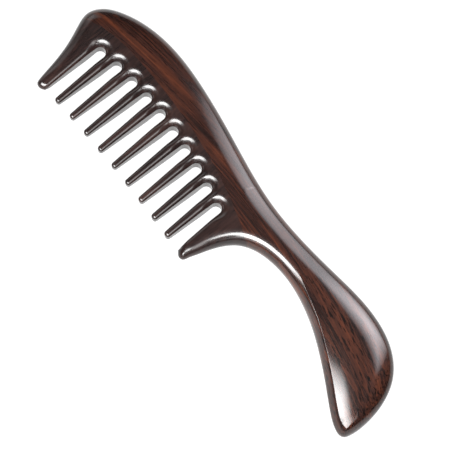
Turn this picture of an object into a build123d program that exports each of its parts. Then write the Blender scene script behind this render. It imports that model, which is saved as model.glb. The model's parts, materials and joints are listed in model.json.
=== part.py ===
"""Wide tooth comb in two woods: a curved back with a swelling handle, and eleven teeth set into it.

The comb lies flat. +X runs from the head to the handle, the teeth point along -Y, +Z is up.
The origin is under the middle of the comb's outline, on the surface that it lies on.
"""
from build123d import *
import math
import os

os.makedirs("parts", exist_ok=True)

# ---- Driving dimensions, in millimetres -------------------------------------------------------
BOARD = 12.0                # thickness of the planed board that the comb is cut from
MID = BOARD / 2             # height of the comb's middle plane
CROWN = 0.04                # the carved shape would stand this proud of the board's faces, so they stay flat
NECK_HALF = 5.7             # half thickness of the neck, just under the board's
NECK_X = (-10.0, 20.0, 30.0, 62.0)  # the neck thins between the first two places, thickens between the last

TOOTH_PITCH = 8.6
SLIM_TEETH = 9
FIRST_TOOTH_X = -76.95      # centre line of the first slim tooth

GAP_RADIUS = 2.3            # round end of each gap
GAP_FLARE = 0.03            # how much each side of a gap opens, per millimetre towards the tips
GULLET_TOP, GULLET_TOP_X, GULLET_ARCH = 6.6, -54.0, 0.0029     # the gullets lie on this arch
TIP_TOP, TIP_TOP_X, TIP_ARCH = -22.9, -55.0, 0.0008            # and the slim teeth's tips on this one
RIM = 0.95                  # rounding of every long edge of a tooth
SLIM_TIP_RADIUS = 1.15      # rounding of a slim tooth's tip, seen from above
GUARD_TIP_RADII = (1.4, 2.2)    # the same on a guard tooth, on its gap side and its outer side
EDGE_WALL = 1.15            # half thickness left at a guard tooth's outer edge, before rounding
GUARD_RIM = 0.7             # rounding of a guard tooth's long edges
ACROSS = [0.0, 0.04, 0.1, 0.2, 0.34, 0.5, 0.7, 1.0]     # where its thickness is set, from the outer edge

TAPER = 0.109               # how fast the teeth thin towards their tips, in half thickness
TAPER_START = 3.2           # the taper starts this far above the seam
TAPER_FADE_X = (-4.0, 17.0)     # and fades out from the head to the neck between these places

BACK_ROLL = 9.5             # how far in from the back edge the faces roll off
UNDER_ROLL = 5.0            # the same along the concave side and the bulb's underside
HEAD_END_ROLL = 6.0         # the same along the outer side of the left guard tooth
HEAD_END_BLEND_Y = (0.0, 20.0)  # and the roll grows from one to the other round the head's end
GUARD_ROLL_POWER = 0.75     # shape of the roll on the guard teeth, which starts from a low wall

TENON_THICK = 4.0
TENON_HEIGHT = 4.0
TENON_SHOULDER = 1.3        # each tenon is this much narrower than its tooth's root, per side
GLUE_GAP = 0.06             # glue line round a tenon

SEAM_SPARE = 5.0            # the back is first made this much deeper than the seam, then cut
SPARE_ROLL = 2.0            # rounding of that spare stock
SPARE_X = (3.0, 15.0)       # between these places the spare stock turns into the neck's real underside
NOSE_SHARE, FOOT_SHARE = 0.55, 0.36     # most of a section's depth that its two rounded ends take

# ---- Outline of the comb before its gaps are cut, seen from above -----------------------------
HEAD_END = (-97.5, 8.0)
BACK_POINTS = [
    (-95.0, 14.84), (-90.0, 18.91), (-80.0, 23.26), (-70.0, 25.31), (-60.0, 25.78), (-45.0, 24.5),
    (-25.0, 21.08), (-5.0, 17.07), (10.0, 15.16), (25.0, 14.99), (45.0, 16.44), (60.0, 17.53),
    (70.0, 16.97), (80.0, 14.4), (90.0, 7.58), (95.0, -0.84),
]
RIGHT_END = (97.5, -13.5)
TIP_POINTS = [(96.95, -20.0), (96.0, -22.1)]
HANDLE_TIP = (94.5, -22.9)
UNDER_POINTS = [
    (91.8, -22.7), (85.0, -19.7), (75.0, -13.84), (65.0, -8.44), (55.0, -3.93), (45.0, -0.8),
    (35.0, 0.81), (26.0, 0.5), (19.4, -1.0),
]
SEAM_END = (15.15, -3.0)    # where the seam comes out on the concave side
GUARD_RIGHT_POINTS = [(12.5, -5.0), (8.85, -10.0), (6.65, -15.0), (5.0, -20.0)]
GUARD_RIGHT_TIP = [(3.9, -23.4), (3.2, -25.2), (1.6, -25.8)]
GUARD_RIGHT_END = (-0.6, -24.5)
GUARD_LEFT_END = (-83.7, -23.4)
GUARD_LEFT_TIP = [(-85.7, -24.5), (-87.8, -24.0)]
GUARD_LEFT_POINTS = [(-88.5, -22.4), (-90.0, -15.0), (-92.66, -5.0), (-94.65, 0.0), (-96.76, 5.0)]

# Places (y, x) where the guard teeth's blanks run outside the outline, at their roots and tips.
GUARD_RIGHT_ROOT = [(8.0, 18.5), (4.0, 18.5), (0.0, 18.0)]
GUARD_RIGHT_FOOT = (-25.8, 3.15)
GUARD_LEFT_FOOT = (-24.5, -88.05)

# The seam between the two woods, from beyond the head's end to beyond the concave side.
SEAM_POINTS = [
    (-99.0, 4.4), (-88.0, 8.9), (-65.0, 11.5), (-40.0, 10.4), (-18.0, 7.2), (2.0, 1.9), SEAM_END,
    (18.0, -4.2),
]

outline = Spline(
    GUARD_LEFT_END, *GUARD_LEFT_TIP, *GUARD_LEFT_POINTS, HEAD_END, *BACK_POINTS, RIGHT_END, *TIP_POINTS,
    HANDLE_TIP, *UNDER_POINTS, SEAM_END, *GUARD_RIGHT_POINTS, *GUARD_RIGHT_TIP, GUARD_RIGHT_END,
)
seam = Spline(*SEAM_POINTS)
OUTLINE_STEPS = 1600


def samples(edge, steps):
    """Points along an edge, from its start to its end."""
    return [(p.X, p.Y) for p in (edge @ (i / steps) for i in range(steps + 1))]


def between(points, start, end):
    """The stretch of sampled points from nearest one place to nearest another."""
    first = min(range(len(points)), key=lambda i: math.dist(points[i], start))
    last = min(range(len(points)), key=lambda i: math.dist(points[i], end))
    return points[first:last + 1]


OUTLINE = samples(outline, OUTLINE_STEPS)
SEAM = samples(seam, 200)
GUARD_LEFT = between(OUTLINE, GUARD_LEFT_END, HEAD_END)
BACK = between(OUTLINE, HEAD_END, RIGHT_END)
TIP = between(OUTLINE, RIGHT_END, HANDLE_TIP)
UNDER = between(OUTLINE, HANDLE_TIP, SEAM_END)
GUARD_RIGHT = between(OUTLINE, SEAM_END, GUARD_RIGHT_END)
OUTER = between(OUTLINE, GUARD_LEFT_END, HANDLE_TIP)
CONCAVE = between(OUTLINE, HANDLE_TIP, GUARD_RIGHT_END)


def crossing(points, value, along, across):
    """Where a sampled edge crosses a grid line: its other coordinate there."""
    for a, b in zip(points, points[1:]):
        if min(a[along], b[along]) <= value <= max(a[along], b[along]) and a[along] != b[along]:
            return a[across] + (b[across] - a[across]) * (value - a[along]) / (b[along] - a[along])
    return min(points, key=lambda p: abs(p[along] - value))[across]


def height_at(points, x):
    return crossing(points, x, 0, 1)


def reach_at(points, y):
    return crossing(points, y, 1, 0)


def distance(points, x, y):
    """Shortest way from a place to a sampled edge."""
    near = min(range(len(points)), key=lambda i: math.dist(points[i], (x, y)))
    best = math.dist(points[near], (x, y))
    around = points[max(near - 1, 0):near + 2]
    for a, b in zip(around, around[1:]):
        run, rise = b[0] - a[0], b[1] - a[1]
        share = ((x - a[0]) * run + (y - a[1]) * rise) / (run * run + rise * rise)
        if 0.0 < share < 1.0:
            best = min(best, math.dist((a[0] + share * run, a[1] + share * rise), (x, y)))
    return best


# ---- Thickness of the comb, as one law over its outline ---------------------------------------
def roll(depth, extent):
    """Quarter ellipse: 0 at an edge, 1 from extent inwards."""
    s = min(max(depth / extent, 0.0), 1.0)
    return math.sqrt(1.0 - (1.0 - s) ** 2)


def ease(value, start, end):
    s = min(max((value - start) / (end - start), 0.0), 1.0)
    return s * s * (3.0 - 2.0 * s)


def taper_top(x):
    return height_at(SEAM, min(x, SEAM_END[0])) + TAPER_START


def board_half(x, y):
    """Half thickness before the edges are rounded: flat, thinning over the teeth."""
    thin, narrow, widen, thick = NECK_X
    in_neck = ease(x, thin, narrow) * (1.0 - ease(x, widen, thick))
    whole = MID + CROWN + (NECK_HALF - MID) * in_neck
    return whole - TAPER * (1.0 - ease(x, *TAPER_FADE_X)) * max(taper_top(x) - y, 0.0)


def half_thickness(x, y):
    """Half thickness of the finished back: the board with its edges rolled off to nothing."""
    extent = BACK_ROLL
    if x < 0.0:
        extent = HEAD_END_ROLL + (BACK_ROLL - HEAD_END_ROLL) * ease(y, *HEAD_END_BLEND_Y)
    outer = roll(distance(OUTER, x, y), extent)
    return board_half(x, y) * outer * roll(distance(CONCAVE, x, y), UNDER_ROLL)


def guard_half(x, y, edge, extent):
    """Half thickness of a guard tooth, whose outer edge keeps a low wall to be rounded."""
    s = min(max(distance(edge, x, y) / extent, 0.0), 1.0)
    return EDGE_WALL + (board_half(x, y) - EDGE_WALL) * (1.0 - (1.0 - s) ** 2) ** GUARD_ROLL_POWER


# ---- Back and handle: one long piece ----------------------------------------------------------
def low_side(x):
    """Lower limit of one section of the back: the real edge, or stock to spare under the seam."""
    if x > HANDLE_TIP[0]:
        return height_at(TIP, x)
    if x > SEAM_END[0]:
        return height_at(UNDER, x)
    spare = height_at(SEAM, x) - SEAM_SPARE
    if x < -86.0:
        return max(spare, height_at(GUARD_LEFT, x))
    if x > 5.0:
        return max(spare, height_at(GUARD_RIGHT, x))
    return spare


def back_section(x):
    """One closed section: rounded nose, flat, taper and rounded foot, the same on both faces."""
    top, low = height_at(BACK, x), low_side(x)
    slope = height_at(BACK, x + 0.3) - height_at(BACK, x - 0.3)
    nose = min(BACK_ROLL * math.hypot(1.0, slope / 0.6), NOSE_SHARE * (top - low))
    foot = SPARE_ROLL + (UNDER_ROLL - SPARE_ROLL) * ease(x, *SPARE_X)
    foot = min(foot, FOOT_SHARE * (top - low))
    flat_start, taper_end = top - nose, low + foot
    bend = taper_end + (flat_start - taper_end) * 0.5
    if x < TAPER_FADE_X[1]:
        share = ease(x, *TAPER_FADE_X)
        room = 0.2 * (flat_start - taper_end)
        bend = bend * share + min(max(taper_top(x), taper_end + room), flat_start - room) * (1.0 - share)
    nose_half, bend_half, foot_half = (half_thickness(x, y) for y in (flat_start, bend, taper_end))
    with BuildSketch(Plane.YZ.offset(x)) as section:
        with BuildLine():
            EllipticalCenterArc((flat_start, MID), nose, nose_half, start_angle=0, arc_size=90)
            Line((flat_start, MID + nose_half), (bend, MID + bend_half))
            Line((bend, MID + bend_half), (taper_end, MID + foot_half))
            EllipticalCenterArc((taper_end, MID), foot, foot_half, start_angle=90, arc_size=90)
            EllipticalCenterArc((taper_end, MID), foot, foot_half, start_angle=180, arc_size=90)
            Line((taper_end, MID - foot_half), (bend, MID - bend_half))
            Line((bend, MID - bend_half), (flat_start, MID - nose_half))
            EllipticalCenterArc((flat_start, MID), nose, nose_half, start_angle=270, arc_size=90)
        make_face()
    return section.sketch


BLUNT_END = [0.05, 0.7, 2.5, 6.0, 11.0, 18.0]
MIDDLE = [-70, -58, -46, -34, -23, -14, -7, 0, 5, 9.5, 15.2, 20, 28, 36, 45, 54, 63, 71]
STATIONS = [HEAD_END[0] + e for e in BLUNT_END] + MIDDLE + [RIGHT_END[0] - e for e in reversed(BLUNT_END)]

# ---- Shared cutters ---------------------------------------------------------------------------
REACH = 120.0               # further than any part of the comb
HIGH = Plane.XY.offset(-BOARD)  # the cutters run well past both faces
CUT = 3 * BOARD

with BuildPart() as above_seam:
    with BuildSketch(HIGH):
        with BuildLine():
            add(seam)
            Polyline(seam @ 1, (REACH, REACH), (-REACH, REACH), seam @ 0)
        make_face()
    extrude(amount=CUT)

with BuildPart() as below_seam:
    with BuildSketch(HIGH):
        with BuildLine():
            add(seam)
            Polyline(seam @ 1, ((seam @ 1).X, -REACH), (-REACH, -REACH), seam @ 0)
        make_face()
    extrude(amount=CUT)


def gap_x(number):
    """Centre line of one gap; gap 0 is beside the left guard tooth."""
    return FIRST_TOOTH_X + TOOTH_PITCH * (number - 0.5)


def gullet_y(number):
    return GULLET_TOP - GULLET_ARCH * (gap_x(number) - GULLET_TOP_X) ** 2


def gap(number):
    """The space between two teeth: round at the gullet, opening a little towards the tips.

    The left guard tooth's side of gap 0 is upright.
    """
    x, top, foot = gap_x(number), gullet_y(number), -REACH / 3
    straight_from = top - GAP_RADIUS
    head_half = GAP_RADIUS - GAP_FLARE * (top - straight_from)
    foot_half = GAP_RADIUS + GAP_FLARE * (straight_from - foot)
    left_half = foot_half if number else head_half
    with BuildPart() as cutter:
        with BuildSketch(HIGH) as face:
            with BuildLine():
                Polyline((x - left_half, foot), (x - head_half, top), (x + head_half, top),
                         (x + foot_half, foot), close=True)
            make_face()
            fillet(face.vertices().group_by(Axis.Y)[-1], radius=head_half * 0.985)
        extrude(amount=CUT)
    return cutter.part


GAPS = [gap(number) for number in range(SLIM_TEETH + 1)]


# ---- Tenons, which are glued into mortises in the back ----------------------------------------
def tenon(left, right, clearance=0.0):
    """A block standing up from the seam, between two places along X."""
    middle = height_at(SEAM, (left + right) / 2)
    root = min(height_at(SEAM, left), height_at(SEAM, right)) - 1.0
    width = right - left + 2 * clearance
    height = middle + TENON_HEIGHT - root + clearance
    with BuildPart() as block:
        with BuildSketch(Plane.XY.offset(MID - TENON_THICK / 2 - clearance)):
            with Locations(((left + right) / 2, root)):
                Rectangle(width, height, align=(Align.CENTER, Align.MIN))
        extrude(amount=TENON_THICK + 2 * clearance)
    return block.part


def tooth_tenons():
    """Left and right sides of every tenon, from the left guard tooth to the right one."""
    sides = [(gap_x(0) - TOOTH_PITCH - TENON_SHOULDER, gap_x(0) - TENON_SHOULDER)]
    for number in range(SLIM_TEETH):
        sides.append((gap_x(number) + TENON_SHOULDER, gap_x(number + 1) - TENON_SHOULDER))
    sides.append((gap_x(SLIM_TEETH) + TENON_SHOULDER, gap_x(SLIM_TEETH) + TOOTH_PITCH + TENON_SHOULDER))
    return sides


TENONS = tooth_tenons()

# ---- Back and handle --------------------------------------------------------------------------
with BuildPart() as back_handle:
    loft([back_section(x) for x in STATIONS])
    with BuildSketch(Plane.XY):
        Rectangle(2 * REACH, 2 * REACH)
    extrude(amount=BOARD, mode=Mode.INTERSECT)
    add(below_seam.part, mode=Mode.SUBTRACT)
    for left, right in TENONS:
        add(tenon(left, right, GLUE_GAP), mode=Mode.SUBTRACT)

back_handle.part.label = "back_handle"
export_step(back_handle.part, "parts/back_handle.step")


# ---- Teeth ------------------------------------------------------------------------------------
def rims(part, left_wall, right_wall):
    """The long edges of a tooth's two faces, without its top and the walls that meet its neighbours."""
    chosen = []
    for edge in part.edges():
        ends = [edge @ 0, edge @ 1]
        on_side = any(all(abs(p.X - wall) < 0.01 for p in ends) for wall in (left_wall, right_wall))
        at_top = all(p.Y > ROOT_TOP - 0.01 for p in ends)
        if not on_side and not at_top and abs((edge @ 0.5).Z - MID) > 0.5:
            chosen.append(edge)
    return chosen


ROOT_TOP = 14.0             # the teeth's blanks reach this far up, then are cut along the seam


def slim_tooth(number):
    """One slim tooth with its share of the root, standing between the middles of two gullets."""
    left, right = gap_x(number), gap_x(number + 1)
    tip = TIP_TOP - TIP_ARCH * ((left + right) / 2 - TIP_TOP_X) ** 2
    with BuildPart() as tooth:
        for y in (ROOT_TOP, tip):
            halves = [board_half(x, 0.0) + TAPER * y for x in (left, right)]
            with BuildSketch(Plane.XZ.offset(-y)):
                with BuildLine():
                    Polyline((left, MID - halves[0]), (right, MID - halves[1]), (right, MID + halves[1]),
                             (left, MID + halves[0]), close=True)
                make_face()
        loft(ruled=True)
        add(GAPS[number], mode=Mode.SUBTRACT)
        add(GAPS[number + 1], mode=Mode.SUBTRACT)
        fillet(tooth.edges().filter_by(Axis.Z).group_by(Axis.Y)[0], radius=SLIM_TIP_RADIUS)
        fillet(rims(tooth.part, left, right), radius=RIM)
        add(above_seam.part, mode=Mode.SUBTRACT)
        add(tenon(*TENONS[number + 1]))
    return tooth.part


for number in range(SLIM_TEETH):
    piece = slim_tooth(number)
    piece.label = f"tooth_{number + 1}"
    export_step(piece, f"parts/{piece.label}.step")


def guard_section(outer, inner, y, edge, extent):
    """Section of a guard tooth across its length: thick at its gap, rolled off to a low outer wall."""
    reach = [outer + (inner - outer) * share for share in ACROSS]
    halves = [guard_half(x, y, edge, extent) for x in reach]
    upper = [(x, MID + half) for x, half in zip(reach, halves)]
    lower = [(x, MID - half) for x, half in zip(reach, halves)]
    with BuildSketch(Plane.XZ.offset(-y)) as section:
        with BuildLine():
            Spline(*upper)
            Line(upper[-1], lower[-1])
            Spline(*lower)
            Line(lower[0], upper[0])
        make_face()
    return section.sketch


def tip_corner(part, inner, farthest):
    """The upright edge at a guard tooth's tip that is farthest from its gap, or nearest to it."""
    upright = [e for e in part.edges() if abs((e @ 0).Z - (e @ 1).Z) > EDGE_WALL]
    lowest = min((e @ 0.5).Y for e in upright)
    tip = [e for e in upright if (e @ 0.5).Y < lowest + 0.6]
    pick = max if farthest else min
    return pick(tip, key=lambda e: abs((e @ 0.5).X - inner))


def guard_tooth(sides, gap_number, edge, extent, root):
    """A guard tooth with its share of the root; sides are places (y, x) down its outer edge."""
    inner = gap_x(gap_number)
    with BuildPart() as tooth:
        loft([guard_section(outer, inner, y, edge, extent) for y, outer in sides])
        add(GAPS[gap_number], mode=Mode.SUBTRACT)
        for farthest, radius in zip((False, True), GUARD_TIP_RADII):
            fillet(tip_corner(tooth.part, inner, farthest), radius=radius)
        fillet(rims(tooth.part, inner, inner), radius=GUARD_RIM)
        add(above_seam.part, mode=Mode.SUBTRACT)
        add(tenon(*root))
    return tooth.part


left_sides = [(y, reach_at(GUARD_LEFT, y)) for y in (ROOT_TOP, 9.0, 4.0, 0.0, -6.0, -12.0, -18.0, -22.0)]
left_sides.append(GUARD_LEFT_FOOT)
guard_tooth_left = guard_tooth(left_sides, 0, OUTER, HEAD_END_ROLL, TENONS[0])
guard_tooth_left.label = "guard_tooth_left"
export_step(guard_tooth_left, "parts/guard_tooth_left.step")

right_sides = GUARD_RIGHT_ROOT + [(y, reach_at(GUARD_RIGHT, y)) for y in (-3, -5, -8, -12, -16, -20, -23.4)]
right_sides.append(GUARD_RIGHT_FOOT)
guard_tooth_right = guard_tooth(right_sides, SLIM_TEETH, CONCAVE, UNDER_ROLL, TENONS[-1])
guard_tooth_right.label = "guard_tooth_right"
export_step(guard_tooth_right, "parts/guard_tooth_right.step")
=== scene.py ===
"""Looks of the wide tooth comb: two polished woods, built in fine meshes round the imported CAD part."""
import json
import math

import bpy
import numpy as np
from mathutils import Matrix, Vector

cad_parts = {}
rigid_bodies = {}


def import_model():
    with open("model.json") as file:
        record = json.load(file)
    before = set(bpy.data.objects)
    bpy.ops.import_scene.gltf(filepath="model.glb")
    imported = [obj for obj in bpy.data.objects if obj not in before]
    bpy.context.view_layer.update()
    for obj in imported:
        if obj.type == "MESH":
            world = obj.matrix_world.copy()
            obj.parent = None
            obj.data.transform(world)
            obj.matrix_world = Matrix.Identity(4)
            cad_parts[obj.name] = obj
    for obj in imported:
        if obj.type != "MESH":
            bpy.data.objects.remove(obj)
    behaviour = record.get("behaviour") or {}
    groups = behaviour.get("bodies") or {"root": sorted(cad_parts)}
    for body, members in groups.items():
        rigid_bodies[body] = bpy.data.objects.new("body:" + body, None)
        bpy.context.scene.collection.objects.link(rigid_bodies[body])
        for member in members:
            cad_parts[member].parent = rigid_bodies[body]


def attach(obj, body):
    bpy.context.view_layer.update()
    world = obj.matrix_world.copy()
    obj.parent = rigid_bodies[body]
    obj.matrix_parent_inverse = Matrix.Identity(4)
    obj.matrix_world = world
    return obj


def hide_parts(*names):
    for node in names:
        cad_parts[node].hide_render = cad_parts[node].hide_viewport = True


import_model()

for name in ("Cube", "Light", "Camera"):
    if name in bpy.data.objects:
        bpy.data.objects.remove(bpy.data.objects[name])
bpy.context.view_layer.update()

# ---- The comb's shape, in millimetres -----------------------------------------------------------
THICKNESS = 12.0
MID = THICKNESS / 2
STEP = 0.35                             # spacing of the fine mesh
TEETH = 9                               # slim teeth between the two guard teeth
PITCH = 8.6
FIRST_GAP_X = -81.25
GAP_RADIUS = 2.3
GAP_FLARE = 0.03                        # how fast the gaps widen below their gullets
GULLET_TOP, GULLET_TOP_X = 6.6, -54.0   # the gullets' arch is highest here
GULLET_ARCH = 0.0029
TIPS_Y, TIPS_X, TIPS_ARCH = -22.9, -55.0, 0.0008
TIP_RADIUS = 1.15
SHAFT_RIM = 0.93                        # rounding of a slim tooth's rims, as a share of its half width
GULLET_RIM = 3.4                        # rounding round the gullets
RIM_LIMIT = 0.75                        # no rim is rounded more than this share of the half thickness
NECK_START, NECK_END = (-10.0, 20.0), (30.0, 62.0)
NECK_THINNING = 0.3
TEETH_TAPER = 0.109                     # how fast each face falls towards the teeth's tips
TAPER_ENDS = (-4.0, 17.0)               # the taper fades out along x between these
TAPER_ABOVE_SEAM = 3.2                  # the taper starts here, softly, and a little late
TAPER_SOFTNESS, TAPER_DELAY = 3.0, 0.2
SEAM_END_X = 15.15                      # the seam meets the outline under the neck here
BULB_TIP_X, BULB_TIP_Y = 94.5, -22.9

# The outline, clockwise from the first gap round the head and the handle to the last gap.
GUARD_LEFT = [(-82.6, -22.7), (-83.7, -23.4), (-85.7, -24.5), (-87.8, -24.0), (-88.5, -22.4),
              (-90.0, -15.0), (-92.66, -5.0), (-94.65, 0.0), (-96.76, 5.0)]
HEAD_BACK = [(-97.5, 8.0), (-95.0, 14.84), (-90.0, 18.91), (-80.0, 23.26), (-70.0, 25.31), (-60.0, 25.78),
             (-45.0, 24.5), (-25.0, 21.08), (-5.0, 17.07)]
HANDLE_BACK = [(10.0, 15.16), (25.0, 14.99), (45.0, 16.44), (60.0, 17.53), (70.0, 16.97), (80.0, 14.4),
               (90.0, 7.58), (95.0, -0.84), (97.5, -13.5), (96.95, -20.0), (96.0, -22.1)]
UNDER = [(BULB_TIP_X, BULB_TIP_Y), (91.8, -22.7), (85.0, -19.7), (75.0, -13.84), (65.0, -8.44),
         (55.0, -3.93), (45.0, -0.8), (35.0, 0.81), (26.0, 0.5), (19.4, -1.0), (SEAM_END_X, -3.0)]
GUARD_RIGHT = [(12.5, -5.0), (8.85, -10.0), (6.65, -15.0), (5.0, -20.0), (3.9, -23.4), (3.2, -25.2),
               (1.6, -25.8), (-0.6, -24.5), (-1.8, -23.6)]
SEAM = [(-99.0, 4.4), (-88.0, 8.9), (-65.0, 11.5), (-40.0, 10.4), (-18.0, 7.2), (2.0, 1.9),
        (SEAM_END_X, -3.0), (18.0, -4.2)]

# Widths of the rounding along the outline: each pair of ends is where one width passes into the next.
HEAD_ROLL, SHOULDER_ROLL, SHOULDER_ENDS = 6.0, 9.5, (0.0, 20.0)
NECK_ROLL, NECK_ENDS = 8.5, (0.0, 20.0)
BULB_ROLL, BULB_ENDS = 12.0, (40.0, 65.0)
TAIL_THINNING, TAIL_ENDS, TAIL_X = 6.0, (-4.0, 16.0), 60.0
UNDER_ROLL, PALM_ROLL, PALM_ENDS = 5.5, 14.0, (45.0, 66.0)
GUARD_ROLL, GUARD_ENDS, GUARD_MAX_X = 2.3, (-22.5, -12.0), 10.0
KEEL_ENDS = (33.0, 53.0)                # the crease under the grip comes in between these
KEEL_FLANK, KEEL_CREASE, KEEL_BLUNTNESS = 8.2, 0.8, 0.03
DOME_DROP, DOME_ENDS = 0.52, (48.0, 82.0)
TAIL_BLEND = 5.0                        # the back's rounding passes into the keel's over twice this length


def spline(points, step):
    """Smooth curve through points, as samples about step apart."""
    p = np.array(points, float)
    t = np.concatenate(([0.0], np.cumsum(np.hypot(*np.diff(p, axis=0).T))))
    n, h = len(p), np.diff(t)
    system, right = np.zeros((n, n)), np.zeros((n, 2))
    system[0, 0] = system[-1, -1] = 1.0
    for i in range(1, n - 1):
        system[i, i - 1:i + 2] = h[i - 1], 2.0 * (h[i - 1] + h[i]), h[i]
        right[i] = 6.0 * ((p[i + 1] - p[i]) / h[i] - (p[i] - p[i - 1]) / h[i - 1])
    m = np.linalg.solve(system, right)
    s = np.linspace(0.0, t[-1], int(t[-1] / step) + 1)
    k = np.clip(np.searchsorted(t, s, side="right") - 1, 0, n - 2)
    a = ((t[k + 1] - s) / h[k])[:, None]
    b = 1.0 - a
    return a * p[k] + b * p[k + 1] + ((a**3 - a) * m[k] + (b**3 - b) * m[k + 1]) * (h[k]**2)[:, None] / 6.0


def ease(value, start, end):
    """Smooth step from 0 at start to 1 at end."""
    s = np.clip((value - start) / (end - start), 0.0, 1.0)
    return s * s * (3.0 - 2.0 * s)


EDGE = spline(GUARD_LEFT + HEAD_BACK + HANDLE_BACK + UNDER + GUARD_RIGHT, 0.15)
SEAM_LINE = spline(SEAM, 0.5)


def edge_shape(points):
    """Columns for each place on the outline: the rounding's width, the dome's drop, the flank, the crease.

    The flank is the share of the width that lies outside the keel's crease, and a crease of 1 is none.
    """
    x, y = points[:, 0], points[:, 1]
    tip = int(np.argmin(np.hypot(x - BULB_TIP_X, y - BULB_TIP_Y)))
    lower = np.arange(len(x)) >= tip
    width = HEAD_ROLL + (SHOULDER_ROLL - HEAD_ROLL) * ease(y, *SHOULDER_ENDS)
    back = SHOULDER_ROLL + (NECK_ROLL - SHOULDER_ROLL) * ease(x, *NECK_ENDS)
    back = back + (BULB_ROLL - NECK_ROLL) * ease(x, *BULB_ENDS)
    back = back - TAIL_THINNING * ease(-y, *TAIL_ENDS) * (x > TAIL_X)
    width = np.where(x > 0.0, back, width)
    width = np.where(lower, UNDER_ROLL + (PALM_ROLL - UNDER_ROLL) * ease(x, *PALM_ENDS), width)
    guards = (x < GUARD_MAX_X) & (y < GUARD_ENDS[1])
    width = np.where(guards, GUARD_ROLL + (width - GUARD_ROLL) * ease(y, *GUARD_ENDS), width)
    keel = ease(x, *KEEL_ENDS) * lower
    flank = np.where(lower, (UNDER_ROLL + (KEEL_FLANK - UNDER_ROLL) * keel) / width, 1.0)
    dome = DOME_DROP * ease(x, *DOME_ENDS) * lower
    shape = np.stack((width, dome, flank, 1.0 + KEEL_CREASE * keel), 1)
    along = np.cumsum(np.hypot(*np.diff(points, axis=0, prepend=points[:1]).T))
    first, last = along[tip] - TAIL_BLEND, along[tip] + TAIL_BLEND
    before, after = shape[np.searchsorted(along, first)], shape[np.searchsorted(along, last)]
    near = (np.abs(along - along[tip]) < TAIL_BLEND)[:, None]
    return np.where(near, before + (after - before) * ease(along, first, last)[:, None], shape)


SHAPE = edge_shape(EDGE)
ROLL = SHAPE[:, 0]
BATCH = 20000               # places handled at once
SKIP = 8                    # the first search looks at every eighth outline sample


def nearest_edge(x, y):
    """Index of the outline sample that rounds each place most."""
    coarse = np.arange(0, len(EDGE), SKIP)
    around = np.arange(-SKIP - 1, SKIP + 2)
    near = np.empty(len(x), int)

    def weighted(a, b, k):
        return ((a - EDGE[k, 0]) ** 2 + (b - EDGE[k, 1]) ** 2) / ROLL[k] ** 2

    for i in range(0, len(x), BATCH):
        a, b = x[i:i + BATCH, None], y[i:i + BATCH, None]
        first = coarse[np.argmin(weighted(a, b, coarse), axis=1)]
        window = np.clip(first[:, None] + around, 0, len(EDGE) - 1)
        best = np.argmin(weighted(a, b, window), axis=1)
        near[i:i + BATCH] = window[np.arange(len(first)), best]
    return near


def edge_depth(x, y):
    """Depth inside the outline as a share of the rounding's width, the shape there, the way inwards."""
    p, near = np.stack((x, y), 1), nearest_edge(x, y)
    rows = []
    for first in (near - 1, near):
        k = np.clip(first, 0, len(EDGE) - 2)
        a, run = EDGE[k], EDGE[k + 1] - EDGE[k]
        s = np.clip(((p - a) * run).sum(1) / (run**2).sum(1), 0.0, 1.0)
        off = p - (a + s[:, None] * run)
        far = np.hypot(off[:, 0], off[:, 1])
        inside = run[:, 1] * off[:, 0] - run[:, 0] * off[:, 1] > 0.0
        beyond = ((near == 0) | (near == len(EDGE) - 1)) & (far > 0.5)
        sign = np.where(inside | beyond, 1.0, -1.0)
        shape = SHAPE[k] * (1.0 - s)[:, None] + SHAPE[k + 1] * s[:, None]
        inward = np.stack((run[:, 1], -run[:, 0]), 1) / np.hypot(run[:, 0], run[:, 1])[:, None]
        way = np.where((far > 1e-6)[:, None], off * sign[:, None] / np.maximum(far, 1e-6)[:, None], inward)
        rows.append((far, far * sign / shape[:, 0], shape, way))
    closer = rows[1][0] < rows[0][0]
    side = closer[:, None]
    return (np.where(closer, rows[1][1], rows[0][1]), np.where(side, rows[1][2], rows[0][2]),
            np.where(side, rows[1][3], rows[0][3]))


def seam_y(x):
    """Height of the seam between the two woods."""
    return np.interp(x, SEAM_LINE[:, 0], SEAM_LINE[:, 1])


def board_half(x, y):
    """Half thickness before the edges are rounded: flat, thinning over the teeth."""
    in_neck = ease(x, *NECK_START) * (1.0 - ease(x, *NECK_END))
    below = seam_y(np.minimum(x, SEAM_END_X)) + TAPER_ABOVE_SEAM - y
    below = 0.5 * (below + np.sqrt(below**2 + TAPER_SOFTNESS**2)) - TAPER_DELAY
    taper = TEETH_TAPER * (1.0 - ease(x, *TAPER_ENDS))
    return MID - NECK_THINNING * in_neck - taper * np.maximum(below, 0.0)


def gap_x(n):
    """Middle of gap n, where the gap beside the left guard tooth is 0."""
    return FIRST_GAP_X + PITCH * n


def gullet_y(n):
    return GULLET_TOP - GULLET_ARCH * (gap_x(n) - GULLET_TOP_X) ** 2


def rounded(a, b, radius):
    """Both depths at once, with the edge between them rounded."""
    u, v = np.maximum(radius - a, 0.0), np.maximum(radius - b, 0.0)
    return np.where((u > 0.0) | (v > 0.0), radius - np.hypot(u, v), np.minimum(a, b))


def flare_at(down):
    """How much a gap has widened on each side, at a distance below its gullet."""
    return GAP_FLARE * down**2 / (down + 2.0)


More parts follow.
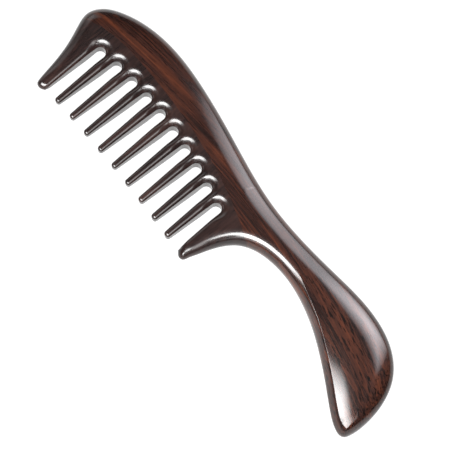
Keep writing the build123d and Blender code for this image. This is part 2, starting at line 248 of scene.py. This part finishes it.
def wall_depth(x, y):
    """Depth behind the walls of the gaps and the slim teeth's tips, and the rounding of their rims."""
    cell = np.floor((x - FIRST_GAP_X) / PITCH)
    walls, above = [], None
    for n in (np.clip(cell, 0, TEETH), np.clip(cell + 1, 0, TEETH)):
        side, up = np.abs(x - gap_x(n)), y - gullet_y(n) + GAP_RADIUS
        outer = (n == 0) & (x < gap_x(0))
        flare = np.where(outer, 0.0, flare_at(np.maximum(-up, 0.0)))
        walls.append(np.where(up > 0.0, np.hypot(side, up), side - flare) - GAP_RADIUS)
        above = up if above is None else np.maximum(above, up)
    near, far = np.minimum(*walls), np.maximum(*walls)
    slim = (cell >= 0) & (cell < TEETH)
    ridge = 0.4             # rounds the ridge where the depths from both walls are equal
    wall = np.where(slim, near - ridge * np.log1p(np.exp((near - far) / ridge)), near)
    tip = TIPS_Y - TIPS_ARCH * (gap_x(cell + 0.5) - TIPS_X) ** 2
    wall = np.where(slim, rounded(wall, y - tip, TIP_RADIUS), wall)
    shaft = SHAFT_RIM * (PITCH / 2 - GAP_RADIUS - flare_at(np.maximum(-above, 0.0)))
    return wall, shaft + (GULLET_RIM - shaft) * ease(above, -5.0, 0.5)


def depth(x, y, z, share, shape):
    """Depth inside the wood: zero on the surface, roughly millimetres near it.

    share is how far in from the outline a place is, as a share of the rounding's width there.
    """
    width, dome, flank, crease = np.moveaxis(shape, -1, 0)
    u, v = 1.0 - np.minimum(share, 1.0), 1.0 - np.minimum(share / flank, 1.0)
    left = 1.0 - dome * u**2                        # height left under the dome
    over = crease * (1.0 - v**2) - 1.0              # how far the flank would pass the dome
    bend = np.sqrt(over**2 + (KEEL_BLUNTNESS * (crease - 1.0)) ** 2 + 1e-9)
    wide, blunt = left**2, 1.0 + 0.5 * (over - bend)
    half = board_half(x, y)
    level = (z - MID) / half
    dome_fall = 4.0 * left * dome * u * np.maximum(blunt, 0.0)
    flank_fall = wide * crease * v / flank * (1.0 - over / bend)
    slope = np.sqrt(((dome_fall + flank_fall) / width) ** 2 + (2.0 * level / half) ** 2 + 0.0004)
    face = (wide * blunt - level**2) / slope
    wall, rim = wall_depth(x, y)
    rim = np.minimum(rim, RIM_LIMIT * half * np.sqrt(np.maximum(wide * blunt, 0.0)))
    return rounded(wall, face, rim)


def settle(p, moves):
    """Points moved onto the surface, the outward direction there, and what depth is left."""
    probe = 1e-3
    for move in range(moves + 1):
        share, shape, way = edge_depth(p[:, 0], p[:, 1])
        here = depth(*p.T, share, shape)
        slope = np.empty_like(p)
        for axis in range(3):
            q, s = p.copy(), share
            q[:, axis] += probe
            if axis < 2:
                s = share + probe * way[:, axis] / shape[:, 0]
            slope[:, axis] = (depth(*q.T, s, shape) - here) / probe
        size = np.linalg.norm(slope, axis=1) + 1e-9
        if move < moves:
            p = p - slope * (np.clip(here / size, -STEP, STEP) / size)[:, None]
    return p, -slope / size[:, None], here


def within(x, y):
    """Whether places lie inside the outline, or in the open side where the teeth's tips are."""
    far_below = -40.0
    ring = np.concatenate((EDGE[::6], [(GUARD_RIGHT[-1][0], far_below), (GUARD_LEFT[0][0], far_below)]))
    crossings = np.zeros(x.shape, int)
    for (ax, ay), (bx, by) in zip(ring, np.roll(ring, -1, axis=0)):
        spans = (y >= min(ay, by)) & (y < max(ay, by))
        rise = by - ay if by != ay else 1.0
        crossings += spans & (x < ax + (bx - ax) * (y - ay) / rise)
    return crossings % 2 == 1


def comb_surface():
    """Vertices (mm) and quads of the whole comb's surface: one vertex in each cell that it crosses."""
    low, high = np.array([-98.4, -26.6, -0.55]), np.array([98.4, 26.6, THICKNESS + 0.55])
    count = np.ceil((high - low) / STEP).astype(int)
    xs, ys, zs = (low[i] + STEP * np.arange(count[i]) for i in range(3))
    gx, gy = np.meshgrid(xs, ys, indexing="ij")
    share, shape, _ = edge_depth(gx.ravel(), gy.ravel())
    share, shape = share.reshape(gx.shape), shape.reshape(*gx.shape, shape.shape[1])
    allowed = within(gx, gy) | (np.abs(share * shape[..., 0]) < 1.0)
    solid = np.stack([allowed & (depth(gx, gy, z, share, shape) > 0.0) for z in zs], 2)
    corners = sum(
        solid[i:count[0] - 1 + i, j:count[1] - 1 + j, k:count[2] - 1 + k].astype(int)
        for i in (0, 1) for j in (0, 1) for k in (0, 1)
    )
    active = (corners > 0) & (corners < 8)
    number = np.full(active.shape, -1)
    number[active] = np.arange(active.sum())
    p = low + STEP * (np.argwhere(active) + 0.5)
    quads = []
    for axis in range(3):
        b, c = (axis + 1) % 3, (axis + 2) % 3
        turned = np.moveaxis(solid, (axis, b, c), (0, 1, 2))
        cells = np.moveaxis(number, (axis, b, c), (0, 1, 2))
        near, far = turned[:-1, 1:-1, 1:-1], turned[1:, 1:-1, 1:-1]
        around = np.stack((cells[:, :-1, :-1], cells[:, 1:, :-1], cells[:, 1:, 1:], cells[:, :-1, 1:]), 3)
        quads.append(around[near & ~far])
        quads.append(around[~near & far][:, ::-1])
    return p, np.concatenate(quads)


def new_mesh(name, points_mm, faces):
    """Object from points in millimetres and rows of their numbers."""
    mesh = bpy.data.meshes.new(name)
    points = [tuple(point) for point in np.asarray(points_mm) / 1000.0]
    mesh.from_pydata(points, [], [tuple(map(int, face)) for face in faces])
    mesh.update()
    piece = bpy.data.objects.new(name, mesh)
    bpy.context.collection.objects.link(piece)
    return piece


def prism(name, ring, low=-4.0, high=16.0):
    """Closed upright block over a ring of (x, y) places, given anticlockwise."""
    n = len(ring)
    corners = [(x, y, low) for x, y in ring] + [(x, y, high) for x, y in ring]
    faces = [tuple(reversed(range(n))), tuple(range(n, 2 * n))]
    faces += [(i, (i + 1) % n, (i + 1) % n + n, i + n) for i in range(n)]
    return new_mesh(name, corners, faces)


def combine(piece, other, operation):
    """One closed piece from two, and the second is thrown away."""
    step = piece.modifiers.new("cut", "BOOLEAN")
    step.operation = operation
    step.solver = "MANIFOLD"
    step.object = other
    bpy.context.view_layer.update()
    made = bpy.data.meshes.new_from_object(piece.evaluated_get(bpy.context.evaluated_depsgraph_get()))
    piece.modifiers.clear()
    piece.data = made
    bpy.data.objects.remove(other)


def smooth_looks(piece):
    """Sets each corner's normal from the true surface, and leaves the cut joint faces flat."""
    mesh = piece.data
    places = np.empty(len(mesh.vertices) * 3)
    mesh.vertices.foreach_get("co", places)
    _, normal, here = settle(places.reshape(-1, 3) * 1000.0, 0)
    mesh.polygons.foreach_set("use_smooth", [True] * len(mesh.polygons))
    flat = np.empty(len(mesh.polygons) * 3)
    mesh.polygons.foreach_get("normal", flat)
    total = np.empty(len(mesh.polygons), int)
    mesh.polygons.foreach_get("loop_total", total)
    corner = np.empty(len(mesh.loops), int)
    mesh.loops.foreach_get("vertex_index", corner)
    face = np.repeat(flat.reshape(-1, 3), total, axis=0)
    true = normal[corner]
    on_surface = ((face * true).sum(1) > 0.72) & (np.abs(here[corner]) < 0.05)
    mesh.normals_split_custom_set(np.where(on_surface[:, None], true, face).tolist())


points, quads = comb_surface()
points, _, _ = settle(points, 4)
whole = new_mesh("whole", points, quads)

# ---- Cuts between the pieces, in millimetres ----------------------------------------------------
REACH = 120.0               # beyond the comb on every side
SEAM_FIRST_X, SEAM_LAST_X = -98.9, 18.0
TENON_MARGIN = 1.3          # from a tenon's side to the middle of the gap beside it
GUARD_TENON_EXTRA = 2.6     # the guard teeth's tenons are wider on their outer side
TENON_RISE = 4.0            # above the seam
TENON_HALF = 2.0
GLUE = 0.06


def seam_part(left, right):
    """The seam's places between two sides, with its height at both sides."""
    inner = [(x, y) for x, y in map(tuple, SEAM_LINE) if left + 0.01 < x < right - 0.01]
    return [(left, float(seam_y(left)))] + inner + [(right, float(seam_y(right)))]


HEAD_SIDE = (-REACH, float(seam_y(SEAM[0][0])))     # where the cut leaves the comb at the head
NECK_SIDE = (SEAM_LAST_X + 0.01, -REACH)            # and under the neck


def tooth_cell(n):
    """Ring round tooth n, up to the seam, where 0 and TEETH + 1 are the guard teeth."""
    left, right = gap_x(n - 1), gap_x(n)
    if n == 0:
        return [(-REACH, -REACH), (right, -REACH)] + seam_part(SEAM_FIRST_X, right)[::-1] + [HEAD_SIDE]
    if n == TEETH + 1:
        return [(left, -REACH), NECK_SIDE] + seam_part(left, SEAM_LAST_X)[::-1]
    return [(left, -REACH), (right, -REACH)] + seam_part(left, right)[::-1]


def back_cell():
    """Ring round everything beyond the seam."""
    corners = [(REACH, -REACH), (REACH, REACH), (-REACH, REACH)]
    return [HEAD_SIDE] + seam_part(SEAM_FIRST_X, SEAM_LAST_X) + [NECK_SIDE] + corners


def tenon_block(name, n, clearance):
    """Tenon of tooth n, or with a clearance the mortise for it."""
    left, right = gap_x(n - 1) + TENON_MARGIN, gap_x(n) - TENON_MARGIN
    if n == 0:
        left -= GUARD_TENON_EXTRA
    if n == TEETH + 1:
        right += GUARD_TENON_EXTRA
    top = float(seam_y((left + right) / 2)) + TENON_RISE + clearance
    root = min(float(seam_y(left)), float(seam_y(right))) - 1.0
    left, right = left - clearance, right + clearance
    ring = [(left, root), (right, root), (right, top), (left, top)]
    return prism(name, ring, MID - TENON_HALF - clearance, MID + TENON_HALF + clearance)


def copy_of(piece, name):
    other = bpy.data.objects.new(name, piece.data.copy())
    bpy.context.collection.objects.link(other)
    return other


names = ["guard_tooth_left"] + [f"tooth_{n}" for n in range(1, TEETH + 1)] + ["guard_tooth_right"]
pieces = {}
for n, name in enumerate(names):
    piece = copy_of(whole, "wood_" + name)
    combine(piece, prism("cell", tooth_cell(n)), "INTERSECT")
    combine(piece, tenon_block("tenon", n, 0.0), "UNION")
    pieces[name] = piece

back = copy_of(whole, "wood_back_handle")
combine(back, prism("cell", back_cell()), "INTERSECT")
for n in range(TEETH + 2):
    combine(back, tenon_block("mortise", n, GLUE), "DIFFERENCE")
pieces["back_handle"] = back
bpy.data.objects.remove(whole)

for name, piece in pieces.items():
    smooth_looks(piece)
    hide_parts(name)
    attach(piece, "root")

# ---- Woods --------------------------------------------------------------------------------------
ARCH = (2.34, 1.22, 0.03)   # the curve that bent grain follows: factors of x cubed, x squared and x
ALONG_X, ALONG_Y = 0, 1


def wood(name, along, bend, shades, pore_depth, coat, gloss):
    """Polished wood with its grain along X or Y, bent to the arch or straight; shades run dark to light."""
    made = bpy.data.materials.new(name)
    made.use_nodes = True
    tree = made.node_tree
    shader = tree.nodes["Principled BSDF"]

    def node(kind, **values):
        n = tree.nodes.new(kind)
        for key, value in values.items():
            setattr(n, key, value)
        return n

    def feed(socket, value):
        """Links a socket, or sets it when the value is a number."""
        if isinstance(value, float):
            socket.default_value = value
        else:
            tree.links.new(value, socket)

    def axes_of(vector):
        parts = node("ShaderNodeSeparateXYZ")
        feed(parts.inputs["Vector"], vector)
        return parts.outputs

    def bent(vector):
        """The same place with y measured from the arch that the grain follows."""
        parts = axes_of(vector)
        cubed, squared, straight = ARCH
        rise = cubed
        for extra in (squared, straight, parts["Y"]):
            step = node("ShaderNodeMath", operation="MULTIPLY_ADD")
            feed(step.inputs[0], parts["X"])
            feed(step.inputs[1], rise)
            feed(step.inputs[2], extra)
            rise = step.outputs[0]
        joined = node("ShaderNodeCombineXYZ")
        feed(joined.inputs["X"], parts["X"])
        feed(joined.inputs["Y"], rise)
        feed(joined.inputs["Z"], parts["Z"])
        return joined.outputs["Vector"]

    place = node("ShaderNodeTexCoord").outputs["Object"]
    if bend:
        place = bent(place)

    def grain(length, thickness, detail, roughness, warp=0.0):
        """Noise drawn out along the grain; length and thickness are its sizes in millimetres."""
        mapping = node("ShaderNodeMapping")
        scale = [1000.0 / thickness] * 3
        scale[along] = 1000.0 / length
        mapping.inputs["Scale"].default_value = scale
        feed(mapping.inputs["Vector"], place)
        noise = node("ShaderNodeTexNoise")
        noise.inputs["Scale"].default_value = 1.0
        noise.inputs["Detail"].default_value = detail
        noise.inputs["Roughness"].default_value = roughness
        noise.inputs["Distortion"].default_value = warp
        feed(noise.inputs["Vector"], mapping.outputs["Vector"])
        return noise.outputs["Fac"]

    def ramp(value, stops):
        n = node("ShaderNodeValToRGB")
        while len(n.color_ramp.elements) < len(stops):
            n.color_ramp.elements.new(0.5)
        for element, (position, color) in zip(n.color_ramp.elements, stops):
            element.position = position
            element.color = (*color, 1.0)
        feed(n.inputs["Fac"], value)
        return n.outputs["Color"]

    def mix(kind, share, a, b):
        n = node("ShaderNodeMix", data_type="RGBA", blend_type=kind)
        feed(n.inputs["Factor"], share)
        feed(n.inputs["A"], a)
        feed(n.inputs["B"], b)
        return n.outputs["Result"]

    def pores_at():
        """How strongly the pores show: little on the head, fully on the grip."""
        n = node("ShaderNodeMapRange", interpolation_type="SMOOTHSTEP")
        feed(n.inputs["Value"], axes_of(place)["X"])
        n.inputs["From Min"].default_value = 0.02
        n.inputs["From Max"].default_value = 0.06
        n.inputs["To Min"].default_value = 0.4
        n.inputs["To Max"].default_value = 1.0
        return n.outputs["Result"]

    dark, middle, light = shades
    fine = ramp(grain(38.0, 0.75, 6.0, 0.65, 0.3), [(0.30, dark), (0.50, middle), (0.72, light)])
    broad = ramp(grain(90.0, 5.0, 3.0, 0.5, 0.6), [(0.36, dark), (0.51, middle), (0.66, light)])
    pores = ramp(grain(4.6, 0.55, 2.0, 0.5), [(0.38, (pore_depth,) * 3), (0.47, (1.0, 1.0, 1.0))])
    figure = mix("MIX", 0.45, fine, broad)
    feed(shader.inputs["Base Color"], mix("MULTIPLY", pores_at(), figure, pores))
    shader.inputs["Roughness"].default_value = 0.42
    shader.inputs["Specular IOR Level"].default_value = 0.1
    shader.inputs["Coat Weight"].default_value = coat
    shader.inputs["Coat IOR"].default_value = 1.5
    shader.inputs["Coat Roughness"].default_value = gloss
    return made


ROSEWOOD_SHADES = ((0.0024, 0.0014, 0.0013), (0.0155, 0.0052, 0.0035), (0.064, 0.0170, 0.0070))
BLACKWOOD_SHADES = ((0.0028, 0.0016, 0.0015), (0.009, 0.0045, 0.0040), (0.026, 0.0120, 0.0098))
rosewood = wood("rosewood", ALONG_X, True, ROSEWOOD_SHADES, pore_depth=0.1, coat=1.0, gloss=0.13)
blackwood = wood("blackwood", ALONG_Y, False, BLACKWOOD_SHADES, pore_depth=0.4, coat=0.85, gloss=0.16)
for name, piece in pieces.items():
    piece.data.materials.clear()
    piece.data.materials.append(rosewood if name == "back_handle" else blackwood)

# ---- Floor, camera and lights, in metres --------------------------------------------------------
TURN, TILT = math.radians(50.55), math.radians(15.0)
TARGET = Vector((0.002868, -0.003902, MID / 1000.0))
DISTANCE = 1.469
LENS, SENSOR = 304.6, 36.0
FLOOR_REACH = 20.0
CENTRE = (0.0, 0.0, 0.0)
PANEL_GAP = 0.002

upright = Vector((0.0, 0.0, 1.0))
right_way = Vector((math.cos(TURN), math.sin(TURN), 0.0))
level_way = Vector((-math.sin(TURN), math.cos(TURN), 0.0))
back_way = math.cos(TILT) * upright - math.sin(TILT) * level_way
up_way = math.cos(TILT) * level_way + math.sin(TILT) * upright
camera = bpy.data.objects.new("camera", bpy.data.cameras.new("camera"))
camera.data.lens = LENS
camera.data.sensor_width = SENSOR
camera.data.clip_start = 0.1
camera.data.clip_end = 100.0
axes = Matrix((right_way, up_way, back_way)).transposed()
camera.matrix_world = Matrix.Translation(TARGET + DISTANCE * back_way) @ axes.to_4x4()
bpy.context.collection.objects.link(camera)
bpy.context.scene.camera = camera

floor_mesh = bpy.data.meshes.new("floor")
floor_corners = [(x * FLOOR_REACH, y * FLOOR_REACH, 0.0) for x, y in ((-1, -1), (1, -1), (1, 1), (-1, 1))]
floor_mesh.from_pydata(floor_corners, [], [(0, 1, 2, 3)])
floor = bpy.data.objects.new("floor", floor_mesh)
bpy.context.collection.objects.link(floor)
paper = bpy.data.materials.new("paper")
paper.use_nodes = True
sheet = paper.node_tree.nodes["Principled BSDF"]
sheet.inputs["Base Color"].default_value = (0.06, 0.06, 0.06, 1.0)
sheet.inputs["Roughness"].default_value = 1.0
sheet.inputs["Specular IOR Level"].default_value = 0.0
sheet.inputs["Emission Color"].default_value = (1.0, 1.0, 1.0, 1.0)
sheet.inputs["Emission Strength"].default_value = 1.0
floor_mesh.materials.append(paper)


def soft_light(name, place, aim, size, radiance, tint=(1.0, 1.0, 1.0), panels=3, core=0.5):
    """Soft rectangular light, as stacked panels; the smallest has the core share of the whole size."""
    way = Vector(place) - Vector(aim)
    for layer in range(panels):
        share = core + (1.0 - core) * layer / (panels - 1)
        data = bpy.data.lights.new(f"{name}_{layer}", "AREA")
        data.shape = "RECTANGLE"
        data.size = size[0] * share
        data.size_y = size[1] * share
        data.energy = radiance / panels * math.pi * data.size * data.size_y
        data.color = tint
        light = bpy.data.objects.new(data.name, data)
        light.location = Vector(place) + way.normalized() * PANEL_GAP * layer
        light.rotation_euler = way.to_track_quat("Z", "Y").to_euler()
        bpy.context.collection.objects.link(light)


def towards(azimuth, elevation, far):
    """Place at a distance from the comb's middle, with its two angles in degrees."""
    a, e = math.radians(azimuth), math.radians(elevation)
    return (far * math.cos(a) * math.cos(e), far * math.sin(a) * math.cos(e), far * math.sin(e))


soft_light("key", towards(-79.0, 49.0, 1.2), aim=CENTRE, size=(1.15, 0.68), radiance=34.0)
soft_light("grip", (0.044, -0.053, 0.088), aim=(0.084, -0.015, 0.008), size=(0.046, 0.060), radiance=32.0,
           panels=6, core=1.0 / 6.0)
soft_light("end", towards(-2.0, 58.0, 1.5), aim=CENTRE, size=(0.7, 1.1), radiance=6.0)
soft_light("rear", (0.046, 0.260, 0.190), aim=(0.046, 0.012, 0.006), size=(0.25, 0.34), radiance=12.5,
           tint=(0.97, 0.95, 1.0), panels=6, core=1.0 / 6.0)
soft_light("left", towards(172.0, 26.0, 1.5), aim=CENTRE, size=(1.2, 1.0), radiance=1.6)
soft_light("fill", towards(-60.0, 25.0, 2.5), aim=CENTRE, size=(3.0, 0.5), radiance=3.0)

# The world is pale at the horizon, where the floor ends, and dark above it.
world = bpy.data.worlds.new("studio")
world.use_nodes = True
sky = world.node_tree
way_up = sky.nodes.new("ShaderNodeSeparateXYZ")
sky.links.new(sky.nodes.new("ShaderNodeTexCoord").outputs["Generated"], way_up.inputs["Vector"])
horizon = sky.nodes.new("ShaderNodeMapRange")
sky.links.new(way_up.outputs["Z"], horizon.inputs["Value"])
horizon.inputs["From Min"].default_value = 0.02
horizon.inputs["From Max"].default_value = 0.05
horizon.inputs["To Min"].default_value = 1.0
horizon.inputs["To Max"].default_value = 0.015
sky.links.new(horizon.outputs["Result"], sky.nodes["Background"].inputs["Color"])
bpy.context.scene.world = world
bpy.context.scene.view_settings.view_transform = "Standard"
